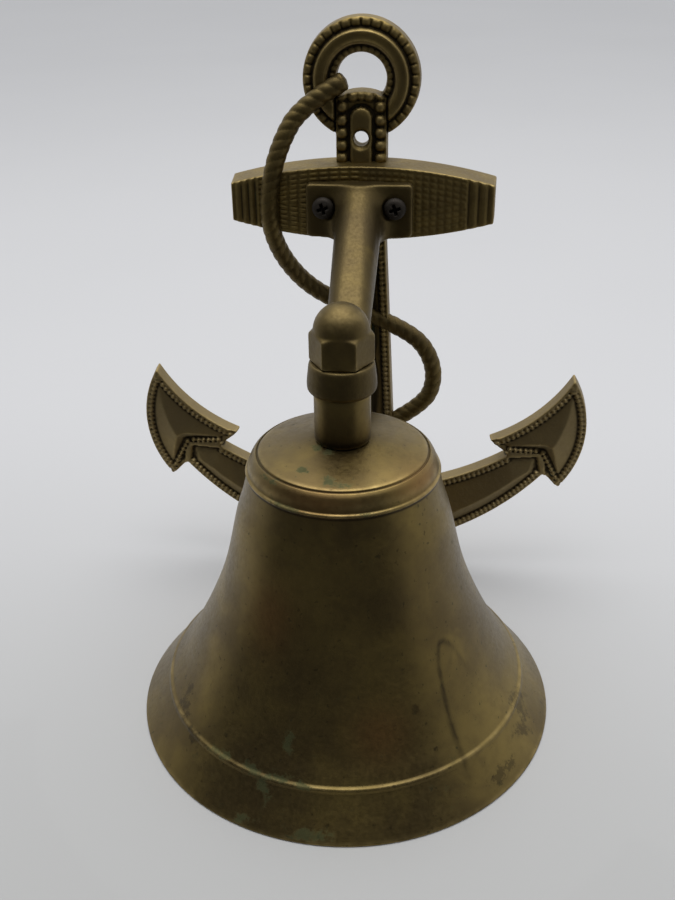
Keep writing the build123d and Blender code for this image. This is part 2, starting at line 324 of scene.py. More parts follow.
def noise(tree, scale, detail=3.0, roughness=0.55, stretch=None, distortion=0.0):
    """Noise from 0 to 1 in the piece's own coordinates, in metres."""
    place = node(tree, "ShaderNodeTexCoord").outputs["Object"]
    if stretch:
        place = node(tree, "ShaderNodeMapping", {"Vector": place, "Scale": stretch}).outputs[0]
    values = {"Vector": place, "Scale": scale, "Detail": detail, "Roughness": roughness}
    values["Distortion"] = distortion
    return node(tree, "ShaderNodeTexNoise", values).outputs[0]


def ramp(tree, value, low, high, start=0.0, end=1.0):
    """A value carried smoothly from one range to another and held at its ends."""
    values = {0: value, 1: low, 2: high, 3: start, 4: end}
    return node(tree, "ShaderNodeMapRange", values, interpolation_type="SMOOTHSTEP").outputs[0]


def blend(tree, factor, first, second):
    """A mix of two colours."""
    made = node(tree, "ShaderNodeMix", {0: factor, 6: first, 7: second}, data_type="RGBA")
    return made.outputs[2]


def combine(tree, operation, first, second):
    """Two values added, multiplied or compared."""
    return node(tree, "ShaderNodeMath", {0: first, 1: second}, operation=operation).outputs[0]


def plus(tree, first, second):
    """The sum of two values."""
    return combine(tree, "ADD", first, second)


def times(tree, first, second):
    """The product of two values."""
    return combine(tree, "MULTIPLY", first, second)


def attribute(tree, name):
    """A value stored on the mesh."""
    return node(tree, "ShaderNodeAttribute", attribute_name=name).outputs["Fac"]


def rgba(red, green, blue):
    """An opaque colour."""
    return (red, green, blue, 1.0)


def new_material(name):
    """A material with its node tree and shader."""
    material = bpy.data.materials.new(name)
    material.use_nodes = True
    tree = material.node_tree
    return material, tree, tree.nodes["Principled BSDF"]


def connect(tree, shader, colour, rough, relief, strength, depth, metallic=1.0):
    """Gives a metal its colour, its roughness and a relief up to so many metres deep."""
    values = {"Strength": strength, "Distance": depth, "Height": relief}
    tree.links.new(colour, shader.inputs["Base Color"])
    tree.links.new(rough, shader.inputs["Roughness"])
    tree.links.new(node(tree, "ShaderNodeBump", values).outputs[0], shader.inputs["Normal"])
    shader.inputs["Metallic"].default_value = metallic


TARNISH = rgba(0.118, 0.085, 0.036)
OLD_BRASS = rgba(0.205, 0.150, 0.052)
GOLDEN = rgba(0.290, 0.210, 0.062)
# Lighter brass: rubbed wear, and on the bell's shoulder, beads and lip also painted highlight
WORN_AND_PAINTED_HIGHLIGHT = rgba(0.40, 0.30, 0.125)
# Near-black brown: grime and stains, and round the sleeve's foot also painted shade
GRIME_AND_PAINTED_SHADE = rgba(0.030, 0.023, 0.015)
SOOT = rgba(0.035, 0.026, 0.016)
# The lighter, greyer colour of the floor's painted reflection in the anchor's low parts
REFLECTED_FLOOR_TINT = rgba(0.275, 0.215, 0.115)
VERDIGRIS = rgba(0.048, 0.092, 0.048)
AMBER = rgba(0.26, 0.14, 0.05)
BLACKENED, BLACK_SHEEN = rgba(0.008, 0.006, 0.004), rgba(0.017, 0.013, 0.009)
BARE_STEEL = rgba(0.07, 0.06, 0.05)


def patina(tree, warmth=0.5):
    """The mottled colour of old handled brass: brown tarnish, dull brass and golden patches."""
    clouds = noise(tree, 26.0, 4.0, 0.6)
    mottle = noise(tree, 170.0, 4.0, 0.65)
    colour = blend(tree, ramp(tree, clouds, 0.30, 0.72), TARNISH, OLD_BRASS)
    colour = blend(tree, ramp(tree, mottle, 0.42, 0.80, 0.0, 0.55), colour, TARNISH)
    glow = noise(tree, 48.0, 3.0, 0.6, distortion=0.6)
    return blend(tree, ramp(tree, glow, 0.46, 0.78, 0.0, warmth), colour, GOLDEN)


FULL_REFLECTION_BELOW, NO_REFLECTION_ABOVE = 0.085, 0.120  # heights in metres: below the first the arms and flukes get the full painted reflection of the floor, above the second none


def cast_brass(name, edge_gain=1.0, grain=0.22, warmth=0.5, shade=0.0, roughness=0.46, floor_reflection=0.0):
    """Sand-cast brass: grime in its hollows, rubbed bright on its edges, a fine grain all over.

    Shade is how dark it has gone all over, and pale sets how strongly its low parts carry a painted
    reflection of the floor, lighter and greyer.
    """
    material, tree, shader = new_material(name)
    colour = patina(tree, warmth)
    if floor_reflection:
        # Painted reflection of the floor: the low arms and flukes are made lighter and greyer by height
        place = node(tree, "ShaderNodeTexCoord").outputs["Object"]
        height = node(tree, "ShaderNodeSeparateXYZ", {0: place}).outputs["Z"]
        colour = blend(tree, ramp(tree, height, FULL_REFLECTION_BELOW, NO_REFLECTION_ABOVE, floor_reflection, 0.0), colour, REFLECTED_FLOOR_TINT)
    speckle = noise(tree, 900.0, 2.0, 0.6)
    edge, hollow = attribute(tree, "edge"), attribute(tree, "hollow")
    uneven = noise(tree, 240.0, 3.0, 0.6)
    rubbed_and_highlit = plus(tree, edge, ramp(tree, uneven, 0.3, 0.8, -0.10, 0.10))
    bright = ramp(tree, rubbed_and_highlit, 0.10, 0.45, 0.0, 0.60 * edge_gain)
    colour = blend(tree, bright, colour, WORN_AND_PAINTED_HIGHLIGHT)
    sunk = plus(tree, hollow, ramp(tree, uneven, 0.3, 0.8, -0.12, 0.12))
    deep = ramp(tree, sunk, -0.85, -0.10, 0.85, 0.0)
    pit = ramp(tree, edge, -0.42, -0.06, 0.88, 0.0)
    dirt = combine(tree, "MAXIMUM", deep, pit)
    colour = blend(tree, dirt, colour, GRIME_AND_PAINTED_SHADE)
    green = times(tree, ramp(tree, noise(tree, 75.0, 4.0, 0.7), 0.60, 0.72), dirt)
    colour = blend(tree, times(tree, green, 0.45), colour, VERDIGRIS)
    colour = blend(tree, shade, colour, SOOT)
    rough = ramp(tree, speckle, 0.2, 0.8, roughness - 0.06, roughness + 0.06)
    rough = plus(tree, rough, times(tree, dirt, 0.25))
    lumps = noise(tree, 330.0, 3.0, 0.6)
    relief = plus(tree, speckle, times(tree, lumps, 1.6))
    connect(tree, shader, colour, rough, relief, grain, 0.0004)
    return material


def turned_brass(name, stained=False, lines=0.10, warmth=0.35):
    """Lathe-turned brass gone dull: fine rings, painted highlights (partly rubbed wear) on its beads,
    painted shade at the sleeve's foot and, on the bell, stains.
    """
    material, tree, shader = new_material(name)
    colour = patina(tree, warmth)
    edge = attribute(tree, "edge")
    uneven = noise(tree, 140.0, 3.0, 0.6)
    # Painted highlights, partly rubbed wear: bright where the edge value is high, on the bell's shoulder,
    # beads, skirt line and lip
    rubbed_and_highlit = times(tree, edge, ramp(tree, uneven, 0.25, 0.7, 0.25, 1.0))
    colour = blend(tree, ramp(tree, rubbed_and_highlit, 0.05, 0.75, 0.0, 0.85), colour, WORN_AND_PAINTED_HIGHLIGHT)
    # Dark where the edge value is low: in the bell's grooves and against the collar, and painted shade
    # round the sleeve's foot on the crown
    colour = blend(tree, ramp(tree, edge, -0.8, -0.05, 0.9, 0.0), colour, GRIME_AND_PAINTED_SHADE)
    rings = noise(tree, 30.0, 5.0, 0.7, stretch=(1.0, 1.0, 55.0))
    speckle = noise(tree, 700.0, 2.0, 0.6)
    rough = ramp(tree, speckle, 0.2, 0.8, 0.33, 0.45)
    relief = plus(tree, rings, times(tree, speckle, 0.5))
    if stained:
        blotch = noise(tree, 260.0, 5.0, 0.75)
        wobble = ramp(tree, blotch, 0.30, 0.70, -0.55, 0.55)
        pits = ramp(tree, noise(tree, 520.0, 2.0, 0.5), 0.66, 0.74, 0.0, 0.45)
        colour = blend(tree, pits, colour, GRIME_AND_PAINTED_SHADE)
        green = ramp(tree, plus(tree, attribute(tree, "green"), wobble), 0.35, 0.95)
        dark = ramp(tree, plus(tree, attribute(tree, "dark"), wobble), 0.40, 0.95)
        colour = blend(tree, times(tree, dark, 0.5), colour, GRIME_AND_PAINTED_SHADE)
        broken = ramp(tree, uneven, 0.3, 0.6, 0.5, 1.0)
        mark = times(tree, attribute(tree, "mark"), broken)
        colour = blend(tree, times(tree, mark, 0.8), colour, GRIME_AND_PAINTED_SHADE)
        amber = attribute(tree, "amber")
        colour = blend(tree, times(tree, amber, 0.6), colour, AMBER)
        colour = blend(tree, times(tree, green, 0.45), colour, VERDIGRIS)
        rough = plus(tree, rough, times(tree, green, 0.3))
    connect(tree, shader, colour, rough, relief, lines, 0.0003)
    return material


def plain_brass(name):
    """Brass of the hidden clapper and fixings: yellower, with tool marks and a little tarnish."""
    material, tree, shader = new_material(name)
    colour = blend(tree, ramp(tree, noise(tree, 60.0, 4.0, 0.6), 0.3, 0.7), OLD_BRASS, WORN_AND_PAINTED_HIGHLIGHT)
    colour = blend(tree, ramp(tree, noise(tree, 210.0, 4.0, 0.7), 0.55, 0.8, 0.0, 0.6), colour, TARNISH)
    speckle = noise(tree, 800.0, 3.0, 0.6)
    rough = ramp(tree, speckle, 0.2, 0.8, 0.28, 0.42)
    connect(tree, shader, colour, rough, speckle, 0.12, 0.0002)
    return material


def black_steel(name):
    """Blackened screws, a little lighter where a driver has rubbed them."""
    material, tree, shader = new_material(name)
    speckle = noise(tree, 900.0, 3.0, 0.6)
    colour = blend(tree, ramp(tree, speckle, 0.3, 0.7), BLACKENED, BLACK_SHEEN)
    bright = ramp(tree, attribute(tree, "edge"), 0.04, 0.2, 0.0, 0.4)
    colour = blend(tree, bright, colour, BARE_STEEL)
    rough = ramp(tree, speckle, 0.2, 0.8, 0.55, 0.70)
    connect(tree, shader, colour, rough, speckle, 0.2, 0.0002, metallic=0.6)
    shader.inputs["Specular IOR Level"].default_value = 0.25
    return material


ANCHOR_BRASS = cast_brass("anchor_brass", 0.65, roughness=0.53, floor_reflection=0.55)
ROPE_BRASS = cast_brass("rope_brass", 1.0, 0.18, 0.35, shade=0.35, roughness=0.52)
ARM_BRASS = cast_brass("arm_brass", 0.7, 0.16, 0.9, shade=0.58, roughness=0.50)
NUT_BRASS = cast_brass("nut_brass", 0.9, 0.10, 0.5, shade=0.34, roughness=0.50)
BELL_BRASS = turned_brass("bell_brass", stained=True)
SLEEVE_BRASS = turned_brass("sleeve_brass", lines=0.16)
INNER_BRASS = plain_brass("inner_brass")
SCREW_STEEL = black_steel("screw_steel")


# ---- anchor plate

ANCHOR_STEP, TOP_STEP = 0.38 * COARSE, 0.32 * COARSE
DRAFT = 0.07  # how much the sides of the casting lean in, per millimetre of depth
STOCK_X, STOCK_Z, STOCK_HALF, STOCK_DEPTH = 0.6, 164.9, 49.6, 13.0
STOCK_MID, STOCK_END = 13.8, 6.9  # half its height at the middle and at the ends
RING_Z, RING_RADIUS, RING_HOLE = 207.3, 21.3, 8.8
HEAD_HALF, HEAD_LOW, HEAD_HIGH, HEAD_CORNER, HEAD_CROWN = 9.6, 168.0, 203.9, 3.2, 19.0
WALL_HOLES, WALL_HOLE_RADIUS, SINK_DEPTH = (28.0, 187.0), 2.7, 6.9
SHANK_TOP = 172  # out of sight behind the stock

LOWER_EDGE = arc((0, 9), (42, 21.8), (75.6, 49), 36)
OUTER_EDGE = arc((82.4, 43), (92, 68), (85.2, 93.6))
INNER_EDGE = arc((85.2, 93.6), (70.8, 75.6), (52.4, 64.4))
UPPER_EDGE = arc((60, 58), (36, 46.3), (14.2, 41))
SHANK_EDGE = [(14.2, 41), (8.5, SHANK_TOP)]
KNEE = (74, 59.2)  # the inner corner of the fluke, where the arm ends in a point
FLUKE_BACK = [(52.4, 64.4), (60.5, 59.5), KNEE, (82.4, 43)]

# Depths of the relief, out from the wall, and how far in from the outline each part of it begins
RIM_DEPTH, BEAD_FLOOR, PANEL_FLOOR, SHANK_FLOOR = 6.5, 5.1, 5.4, 4.9
CHANNEL_IN, PANEL_IN, FACET_IN, FACET_BACK_IN = 1.5, 3.5, 3.4, 2.3
BEAD_PITCH, BEAD_IN, BEAD_RADIUS, BEAD_RISE = 2.15, 2.5, 1.2, 1.9
BACK_CHANNEL, BACK_PITCH, BACK_IN, BACK_RADIUS, BACK_RISE = 2.2, 2.1, 1.1, 1.1, 2.0
ARM_RISE, FLUKE_RISE = 2.9, 3.2
STRIP_HALF, STRIP_TOP, STRIP_FALL, STRIP_LOW = 3.9, 7.6, 0.9, 33
SHANK_LOW, SHANK_HALF = 46, 15  # where the shank's relief takes over from the arms'


def bordered(from_edge, inner):
    """A thin rim, then the channel that holds a row of beads, then what lies inside it."""
    channel = np.where(from_edge < PANEL_IN, BEAD_FLOOR, inner)
    return np.where(from_edge < CHANNEL_IN, RIM_DEPTH, channel)


def web_shape(u, v):
    """Signed outline and front height of shank, arms and flukes, for the right half."""
    outline = LOWER_EDGE + OUTER_EDGE + INNER_EDGE + UPPER_EDGE + SHANK_EDGE
    border = distance(outline, u, v)
    signed = np.where(within(outline + [(0, SHANK_TOP)], u, v), -border, border)
    # Arm: two sloping panels that meet in a ridge near the lower edge
    to_upper = distance(UPPER_EDGE[::-1] + [KNEE], u, v)
    to_lower = distance(LOWER_EDGE + [KNEE], u, v)
    panel = np.minimum(0.25 * (to_upper - PANEL_IN), 0.55 * (to_lower - PANEL_IN))
    arm = bordered(np.minimum(to_upper, to_lower), PANEL_FLOOR + np.clip(panel, 0, ARM_RISE))
    # Fluke: three facets that rise to a point
    inner, outer = distance(INNER_EDGE, u, v), distance(OUTER_EDGE, u, v)
    back = distance(FLUKE_BACK, u, v)
    facets = np.minimum(0.30 * (inner - FACET_IN), 0.36 * (outer - FACET_IN))
    facets = np.minimum(facets, 0.9 * (back - FACET_BACK_IN))
    fluke = bordered(np.minimum(inner, outer), PANEL_FLOOR + np.clip(facets, 0, FLUKE_RISE))
    fluke = np.where((back < BACK_CHANNEL) & (np.minimum(inner, outer) > 0.9), BEAD_FLOOR, fluke)
    in_fluke = within(OUTER_EDGE + INNER_EDGE + FLUKE_BACK[1:-1], u, v)
    height = np.where(in_fluke, fluke, arm)
    # Shank: rims, bead rows, channels and a rounded strip down the middle
    side = distance(SHANK_EDGE, u, v)
    strip = STRIP_TOP - STRIP_FALL * (u / STRIP_HALF) ** 2
    shank = np.where(u < STRIP_HALF, strip, bordered(side, SHANK_FLOOR))
    height = np.where((v > SHANK_LOW) & (u < SHANK_HALF), shank, height)
    foot = (v <= SHANK_LOW) & (v > STRIP_LOW) & (u < STRIP_HALF)
    height = np.where(foot, np.maximum(height, strip), height)
    # Beads
    for chain in (UPPER_EDGE, LOWER_EDGE[4:], INNER_EDGE, OUTER_EDGE, SHANK_EDGE):
        beads = spaced(chain, BEAD_PITCH, BEAD_IN)
        add_beads(height, u, v, beads, BEAD_RADIUS, BEAD_FLOOR, BEAD_RISE)
    beads = spaced(FLUKE_BACK[1:], BACK_PITCH, BACK_IN)
    add_beads(height, u, v, beads, BACK_RADIUS, BEAD_FLOOR, BACK_RISE)
    return signed, height


HATCHED_REACH, FURROWED_REACH, FURROW_DEPTH = 38, 48.0, 0.65


def stock_shape(u, v):
    """Signed outline and front height of the stock, whose hatching is coarser on its left half."""
    reach = np.abs(u - STOCK_X)
    sagitta = STOCK_MID - STOCK_END
    radius = (STOCK_HALF**2 + sagitta**2) / (2 * sagitta)
    half = np.sqrt(np.maximum(radius**2 - reach**2, 0)) - radius + STOCK_MID
    from_edge = half - np.abs(v - STOCK_Z)
    signed = np.maximum(-from_edge - 0.6, reach - STOCK_HALF + 0.4)  # taller at its back

    def groove(value, pitch, width):
        """Equal grooves, 1 at their middles."""
        offset = np.abs((value / pitch + 0.5) % 1 - 0.5) * pitch
        return np.exp(-((offset / width) ** 2))

    left = u < 0
    hatched = (reach < HATCHED_REACH) & (from_edge > 0.8)
    level = np.where(left, groove(from_edge - 1.6, 1.8, 0.42), groove(from_edge - 1.6, 2.2, 0.42))
    upright = np.where(left, groove(u, 3.8, 0.55), groove(u - 0.6, 2.75, 0.45))
    cut = np.where(left, 0.55, 0.36) * np.maximum(level, upright)
    ends = (reach > HATCHED_REACH + 0.2) & (reach < FURROWED_REACH) & (from_edge > 0.4)
    furrow = np.where(left, groove(reach - 39.4, 2.6, 0.6), groove(reach - 39.0, 3.6, 0.8))
    cut = np.where(hatched, cut, 0) + np.where(ends, FURROW_DEPTH * furrow, 0)
    return signed, STOCK_DEPTH - cut


def head_outline(u, v):
    """Signed outline of the shank's head: straight sides, a low round top."""
    middle, half = (HEAD_LOW + HEAD_HIGH) / 2, (HEAD_HIGH - HEAD_LOW) / 2
    box = rounded_box(u, v - middle, HEAD_HALF, half, HEAD_CORNER)
    return np.maximum(box, np.hypot(u, v - HEAD_HIGH + HEAD_CROWN) - HEAD_CROWN)


RING_FLOOR, RING_BEAD_FLOOR, BAND_RADIUS, OUTER_BEADS, INNER_BEADS = 4.3, 4.6, 14.6, 34, 28


def ring_shape(u, v):
    """Signed outline and front height of the ring: outer beads, a broad band and inner beads."""
    across, up = u + 0 * v, v - RING_Z + 0 * u
    radius, angle = np.hypot(across, up), np.arctan2(across, up)
    signed = np.maximum(radius - RING_RADIUS, RING_HOLE - radius)

    def lobes(count):
        """Equal swellings round the ring, 1 at their middles."""
        phase = (angle * count / (2 * math.pi)) % 1 - 0.5
        return np.maximum(1 - np.abs(2.0 * phase) ** 4.0, 0)

    def ridge(centre, half, power=2.0):
        """A round ridge, 1 along its top."""
        return np.maximum(1 - np.abs((radius - centre) / half) ** power, 0) ** 0.5

    height = np.full(radius.shape, RING_FLOOR)
    height = np.where(radius > 20.2, 5.9, height)
    outer_beads = ridge(19.3, 1.9) * (0.25 + 0.75 * lobes(OUTER_BEADS) ** 0.6)
    inner_beads = ridge(10.6, 1.4) * (0.2 + 0.8 * lobes(INNER_BEADS) ** 0.6)
    band = RING_FLOOR + 4.2 * ridge(BAND_RADIUS, 2.9, 3.0) - 0.9 * ridge(BAND_RADIUS, 1.5)
    height = np.maximum(height, RING_BEAD_FLOOR + 1.9 * outer_beads)
    height = np.maximum(height, band)
    height = np.maximum(height, RING_BEAD_FLOOR + 1.3 * inner_beads)
    height = np.where(radius < 9.5, 5.2, height)
    return signed, np.where(head_outline(u, v) < 0.3, RING_FLOOR, height)


HEAD_FLOOR, HEAD_TOP, HEAD_RIM, TONGUE_Z, TONGUE_HALF = 5.7, 6.9, 8.8, 194, 4.1


def head_shape(u, v):
    """Signed outline and front height of the shank's head: a raised tongue and large beads round it."""
    signed = head_outline(u, v)
    aside = np.abs(u) + 0 * v
    channel = (aside > 4.2) & (aside < HEAD_RIM) & (v < 198.2)
    height = np.where(channel, 6.0, np.where(aside >= HEAD_RIM, HEAD_TOP, 6.2))
    tongue = np.where(v < TONGUE_Z, aside, np.hypot(u, v - TONGUE_Z))
    height = np.where(tongue < 5.3, HEAD_FLOOR, height)
    height = np.where(tongue < TONGUE_HALF, 8.4 - 0.8 * (tongue / TONGUE_HALF) ** 3, height)
    columns = [(side * 6.9, 193.4 - 4.5 * i) for i in range(6) for side in (-1, 1)]
    corners = [(side * x, z) for side in (-1, 1) for x, z in ((6.9, 198.1), (7.0, 202.2), (2.9, 201.9))]
    add_beads(height, u, v, columns + corners + [(0, 202.3)], 2.15, HEAD_FLOOR, 2.2)
    return signed, height


def spanned(low_u, high_u, low_v, high_v, front, step):
    """The grid of one part of the anchor, whose relief comes so far out: x, z and depth."""
    u = np.arange(math.floor(low_u / step), math.ceil(high_u / step) + 1)[:, None] * step
    v = np.arange(math.floor(low_v / step), math.ceil(high_v / step) + 1)[None, :] * step
    w = (-1.5 * step + np.arange(math.ceil((front + 1.5) / step)) * step)[None, None, :]
    return u, v, w


def solid(signed, height, w):
    """A block with drafted sides behind a height map."""
    deep = signed[:, :, None] + DRAFT * w
    return smooth_max(deep.astype(np.float32), (w - height[:, :, None]).astype(np.float32), 0.7)


def drilled(field, u, v, w, back):
    """Cuts the two wall screw holes and the back, so far out from the wall."""
    for hole_z in WALL_HOLES:
        from_hole = np.hypot(u, v - hole_z)[:, :, None]
        sink = np.maximum(WALL_HOLE_RADIUS, WALL_HOLE_RADIUS + (w - SINK_DEPTH) * 0.9)
        field = np.maximum(field, np.minimum(sink - from_hole, 2.0).astype(np.float32))
    return np.maximum(field, back - w)


def web_field():
    """Shank, arms and flukes: worked out for the right half and mirrored."""
    u, v, w = spanned(0, 94.5, 6.5, 174, 10.5, ANCHOR_STEP)
    signed, height = web_shape(u, v)
    signed = np.concatenate([signed[:0:-1], signed])
    height = np.concatenate([height[:0:-1], height])
    u = np.concatenate([-u[:0:-1], u])
    field = drilled(solid(signed, height, w), u, v, w, 0.0)
    return field, (u[0, 0], v[0, 0], w[0, 0, 0]), ANCHOR_STEP


def top_field():
    """The ring and the head of the shank."""
    u, v, w = spanned(-22.5, 22.5, 167, 230, 10.5, TOP_STEP)
    field = smooth_min(solid(*ring_shape(u, v), w), solid(*head_shape(u, v), w), 0.4)
    return drilled(field, u, v, w, 0.12), (u[0, 0], v[0, 0], w[0, 0, 0]), TOP_STEP


def stock_field():
    """The crossbar."""
    u, v, w = spanned(STOCK_X - 50, STOCK_X + 50, 151, 182, 14.5, TOP_STEP)
    field = drilled(solid(*stock_shape(u, v), w), u, v, w, 0.24)
    return field, (u[0, 0], v[0, 0], w[0, 0, 0]), TOP_STEP


for name, (field, origin, step), keep, reach in (
    ("anchor_casting", web_field(), 0.5, 0.75),
    ("anchor_ring", top_field(), 0.85, 0.75),
    ("anchor_stock", stock_field(), 0.75, 0.6),
):
    casting(
        name, field, origin, step, from_wall, "wall_bracket", "cast_brass", ANCHOR_BRASS,
        ("anchor_plate",), keep if COARSE == 1 else 1.0, reach,
    )


# ---- the rope cast on the anchor

ROPE_RADIUS, ROPE_LEAD = 3.4, 11.3  # the lead is one strand's way along in a turn
ROPE_SIDES, ROPE_CAP = 48, 1.6
ROPE_POINTS = [  # x, depth out from the wall, z
    (-5.0, 8.0, 207.8), (-21.2, 9.0, 199.1), (-29.0, 13.0, 186.0), (-33.2, 14.5, 171.0),
    (-34.0, 13.5, 157.0), (-30.2, 8.5, 142.5), (-20.5, 4.2, 129.3), (-5.0, 4.0, 121.5),
    (12.5, 4.0, 114.5), (25.0, 4.0, 106.5), (30.0, 4.0, 92.0), (25.0, 4.0, 78.5), (8.0, 4.0, 69.0),
]


def smooth_route(points, resolution):
    """Points read from a smooth NURBS line through a route, in millimetres."""
    curve = bpy.data.curves.new("route", "CURVE")
    curve.dimensions = "3D"
    spline = curve.splines.new("NURBS")
    spline.points.add(len(points) - 1)
    for point, (x, depth, z) in zip(spline.points, points):
        point.co = (x, WALL_Y - depth, z, 1)
    spline.order_u = 3
    spline.use_endpoint_u = True
    spline.resolution_u = resolution
    holder = placed("route", curve)
    line = bpy.data.meshes.new_from_object(holder.evaluated_get(bpy.context.evaluated_depsgraph_get()))
    route = np.array([vertex.co for vertex in line.vertices])
    bpy.data.objects.remove(holder)
    bpy.data.meshes.remove(line)
    return route


def rope():
    """Three strands laid right-handed, as one tube whose section has three lobes."""
    route = smooth_route(ROPE_POINTS, 26)
    along = np.concatenate([[0], np.cumsum(np.linalg.norm(np.diff(route, axis=0), axis=1))])
    at = np.linspace(0, along[-1], round(along[-1] / (0.55 * COARSE)))
    route = np.stack([np.interp(at, along, route[:, i]) for i in range(3)], 1)
    way = np.gradient(route, axis=0)
    way /= np.linalg.norm(way, axis=1)[:, None]
    side = np.cross(way, (0, 1, 0))
    side /= np.linalg.norm(side, axis=1)[:, None]
    out = np.cross(side, way)
    around = np.linspace(0, 2 * math.pi, ROPE_SIDES, endpoint=False)
    lay = around[None, :] + at[:, None] * 2 * math.pi / ROPE_LEAD
    lobe = np.abs(np.cos(1.5 * lay))
    from_end = np.minimum(at, at[-1] - at)
    cap = np.sqrt(np.clip(1 - (1 - np.clip(from_end / ROPE_CAP, 0, 1)) ** 2, 0, 1))
    radius = ROPE_RADIUS * (0.87 + 0.13 * lobe**0.4) * np.maximum(cap, 0.02)[:, None]
    cosine, sine = np.cos(around)[None, :, None], np.sin(around)[None, :, None]
    points = route[:, None] + radius[:, :, None] * (cosine * side[:, None] + sine * out[:, None])
    rows, columns = np.arange(len(at) - 1)[:, None] * ROPE_SIDES, np.arange(ROPE_SIDES)
    base, after = rows + columns, rows + np.roll(columns, -1)
    faces = np.stack([base, after, after + ROPE_SIDES, base + ROPE_SIDES], 2).reshape(-1, 4)
    edge = np.where(lobe > 0.3, 0.20 * lobe, -0.34 + 1.33 * lobe)
    return points.reshape(-1, 3), faces[:, ::-1], edge.ravel()


points, faces, edge = rope()
new_piece(
    "anchor_rope", points, faces, "wall_bracket", "cast_brass", ROPE_BRASS,
    edge=edge, hollow=np.zeros(len(edge)),
)


# ---- bracket arm

ARM_STEP = 0.42 * COARSE
PLATE_HALF, PLATE_HALF_HEIGHT, PLATE_Z, PLATE_CORNER = 19.5, 9.9, 163.5, 2.0
PLATE_BACK, PLATE_FRONT = 13.0, 18.0
BELL_DEPTH = WALL_Y - BELL_Y
ROOT_DEPTH, ROOT_Z = 20.0, 162.0
ARM_END_DEPTH, COLLAR_Z = BELL_DEPTH - 9.0, 130.1
# Half the arm's width and height and its corners: at the root, and how much less at the end
ARM_WIDE, ARM_TALL, ARM_CORNER = (8.4, 1.4), (10.2, 5.4), (5.2, 1.0)
COLLAR_LOW, COLLAR_HIGH = 124.9, 135.3
SCREW_X, SCREW_Z, SCREW_SEAT, SCREW_HOLE = 13.1, 164.7, 4.5, 2.25
STUD_BORE = 6.05


def bracket_field():
    """Back plate, arm and collar in one casting."""
    step, side, low_z, near = ARM_STEP, math.ceil(21.5 / ARM_STEP), 122.5, 11.5
    u = (np.arange(2 * side + 1) * step - side * step)[:, None, None]
    v = (low_z + np.arange(math.ceil(54.5 / step)) * step)[None, :, None]
    w = (near + np.arange(math.ceil((BELL_DEPTH + 13.5 - near) / step)) * step)[None, None, :]
    plate = rounded_box(u, v - PLATE_Z, PLATE_HALF, PLATE_HALF_HEIGHT, PLATE_CORNER)
    plate = smooth_max(plate, w - PLATE_FRONT, 1.0)
    t = np.clip((w - ROOT_DEPTH) / (ARM_END_DEPTH - ROOT_DEPTH), -0.1, 1)
    centre = ROOT_Z + (COLLAR_Z - ROOT_Z) * t
    slope = math.hypot(1, (ROOT_Z - COLLAR_Z) / (ARM_END_DEPTH - ROOT_DEPTH))
    taper = np.clip((v - centre) * (0.30 - 0.30 * t), 0, 3.2 - 3.2 * t)  # the root narrows upwards
    wide, tall, corner = (root - less * t for root, less in (ARM_WIDE, ARM_TALL, ARM_CORNER))
    arm = rounded_box(u, (v - centre) / slope, wide - taper, tall / slope, corner)
    arm = np.maximum(arm, w - ARM_END_DEPTH)
    joined = smooth_min(plate, arm, 6.5)
    joined = smooth_max(joined, v - PLATE_Z - PLATE_HALF_HEIGHT, 0.8)
    from_axis = np.hypot(u, w - BELL_DEPTH)
    heights = [COLLAR_LOW, COLLAR_LOW + 1.5, COLLAR_LOW + 4.1, COLLAR_HIGH]
    radius = np.interp(v, heights, [10.2, 11.35, 11.35, 10.6])
    collar = smooth_max(from_axis - radius, np.abs(v - COLLAR_Z) - (COLLAR_HIGH - COLLAR_LOW) / 2, 0.9)
    joined = smooth_min(joined, collar, 3.0)
    joined = np.maximum(joined, np.minimum(STUD_BORE - from_axis, 2))
    from_screw = np.hypot(np.abs(u) - SCREW_X, v - SCREW_Z)
    seat = np.maximum(from_screw - SCREW_SEAT, PLATE_FRONT - w)
    joined = smooth_max(joined, -seat, 0.6)
    joined = np.maximum(joined, SCREW_HOLE - from_screw)
    joined = np.maximum(joined, PLATE_BACK - w)
    return joined, (u[0, 0, 0], v[0, 0, 0], w[0, 0, 0]), step


field, origin, step = bracket_field()
casting(
    "bracket_casting", field, origin, step, from_wall, "wall_bracket", "cast_brass", ARM_BRASS,
    ("bracket_arm",),
)


# ---- bracket screws

SCREW_HEAD, SCREW_DOME, SCREW_DOME_BACK, SCREW_TURN = 4.0, 8.4, 5.6, 18  # the turn is in degrees
RECESS_REACH, RECESS_HALF, RECESS_FLOOR = 2.3, 0.5, 0.9


